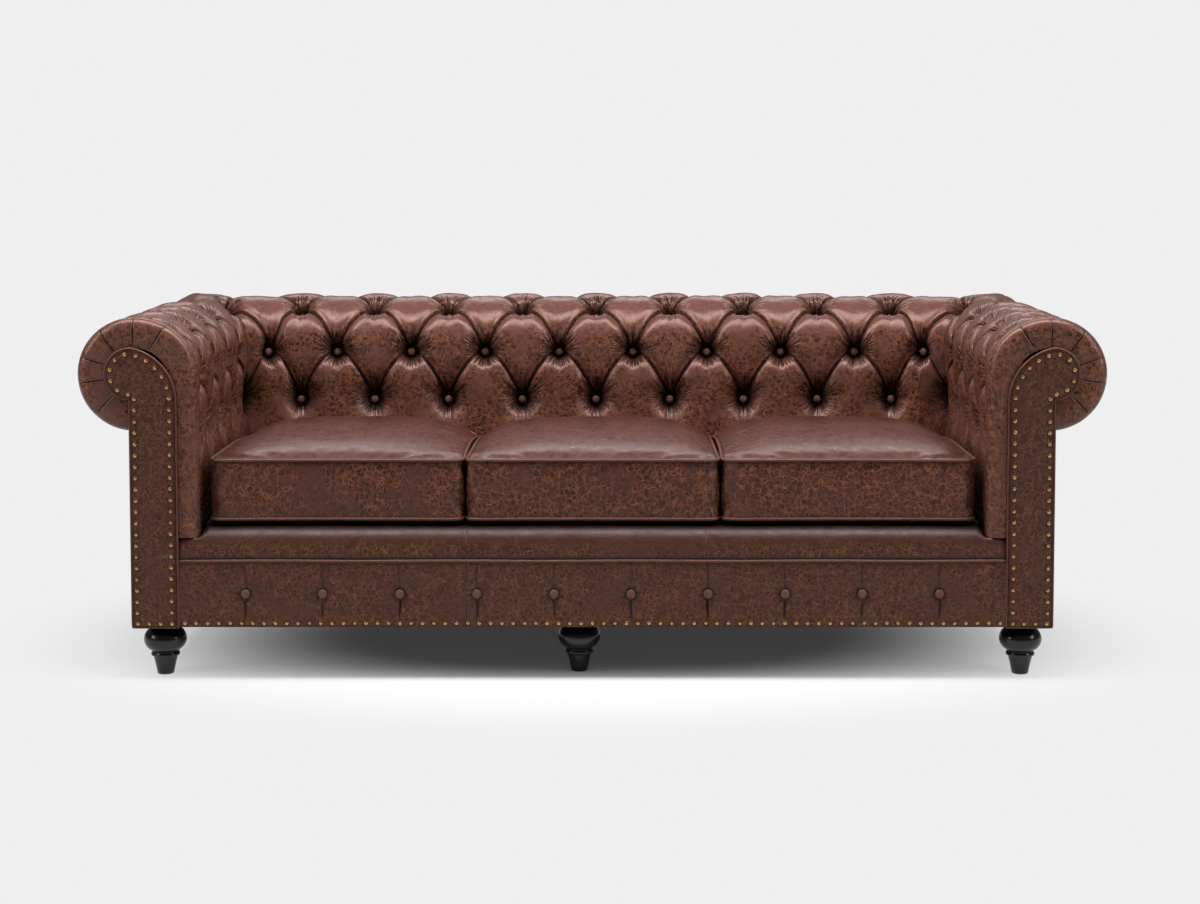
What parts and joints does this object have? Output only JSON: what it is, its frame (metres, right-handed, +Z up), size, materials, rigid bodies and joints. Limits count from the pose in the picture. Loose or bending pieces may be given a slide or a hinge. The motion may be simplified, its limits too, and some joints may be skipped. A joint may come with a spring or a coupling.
{
  "type": "tufted sofa",
  "caption": "Rolled-arm sofa with deep-buttoned arms and back, loose seat cushions, nailed facings and turned feet.",
  "frame": {"origin": "on the floor, under the middle of the sofa's box", "axes": "+X along the sofa to the right of someone facing it, -Y out of its front, +Z up"},
  "size_m": [2.2, 0.93, 0.7728],
  "materials": {
    "tufted_leather": "satin distressed brown",
    "plain_leather": "satin distressed brown",
    "cushion_leather": "satin distressed brown",
    "piping_leather": "satin dark brown",
    "button_leather": "satin dark brown",
    "nail_brass": "aged",
    "black_lacquer": "black satin lacquer",
    "frame_wood": "sawn",
    "bolt_steel": "zinc plated",
    "webbing": "woven",
    "deck_cloth": "woven",
    "dust_cloth": "matte nonwoven",
    "foam": "open cell foam"
  },
  "bodies": {
    "root": {"arm_buttons_left": "button_leather", "arm_buttons_right": "button_leather", "arm_front_left": "tufted_leather", "arm_front_right": "tufted_leather", "arm_pad_left": "tufted_leather", "arm_pad_right": "tufted_leather", "arm_stump_left": "frame_wood", "arm_stump_right": "frame_wood", "arm_tacking_rail_left": "frame_wood", "arm_tacking_rail_right": "frame_wood", "arm_top_rail_left": "frame_wood", "arm_top_rail_right": "frame_wood", "back_buttons": "button_leather", "back_pad": "tufted_leather", "back_rail": "frame_wood", "back_tacking_rails": "frame_wood", "back_top_rail": "frame_wood", "back_uprights": "frame_wood", "border_buttons": "button_leather", "border_nails": "nail_brass", "border_welt": "piping_leather", "corner_blocks": "frame_wood", "corner_post_left": "frame_wood", "corner_post_right": "frame_wood", "cross_rails": "frame_wood", "dust_cover": "dust_cloth", "facing_left": "plain_leather", "facing_nails_left": "nail_brass", "facing_nails_right": "nail_brass", "facing_right": "plain_leather", "facing_welt_left": "piping_leather", "facing_welt_right": "piping_leather", "foot_bolts": "bolt_steel", "front_border": "plain_leather", "front_feet": "black_lacquer", "front_lip": "plain_leather", "front_rail": "frame_wood", "front_to_back_webbing": "webbing", "middle_rail": "frame_wood", "outside_arm_panel_left": "plain_leather", "outside_arm_panel_right": "plain_leather", "outside_back_panel": "plain_leather", "rear_feet": "black_lacquer", "seat_deck": "deck_cloth", "side_rail_left": "frame_wood", "side_rail_right": "frame_wood", "side_to_side_webbing": "webbing"},
    "left_cushion": {"seat_cushion_left": "cushion_leather", "cushion_foam_left": "foam"},
    "middle_cushion": {"seat_cushion_middle": "cushion_leather", "cushion_foam_middle": "foam"},
    "right_cushion": {"seat_cushion_right": "cushion_leather", "cushion_foam_right": "foam"}
  },
  "joints": [
    {"name": "left_cushion_lift", "type": "slide", "parent": "root", "child": "left_cushion", "axis": [0, 0, 1], "range_m": [0, 0.35]},
    {"name": "middle_cushion_lift", "type": "slide", "parent": "root", "child": "middle_cushion", "axis": [0, 0, 1], "range_m": [0, 0.35]},
    {"name": "right_cushion_lift", "type": "slide", "parent": "root", "child": "right_cushion", "axis": [0, 0, 1], "range_m": [0, 0.35]}
  ]
}
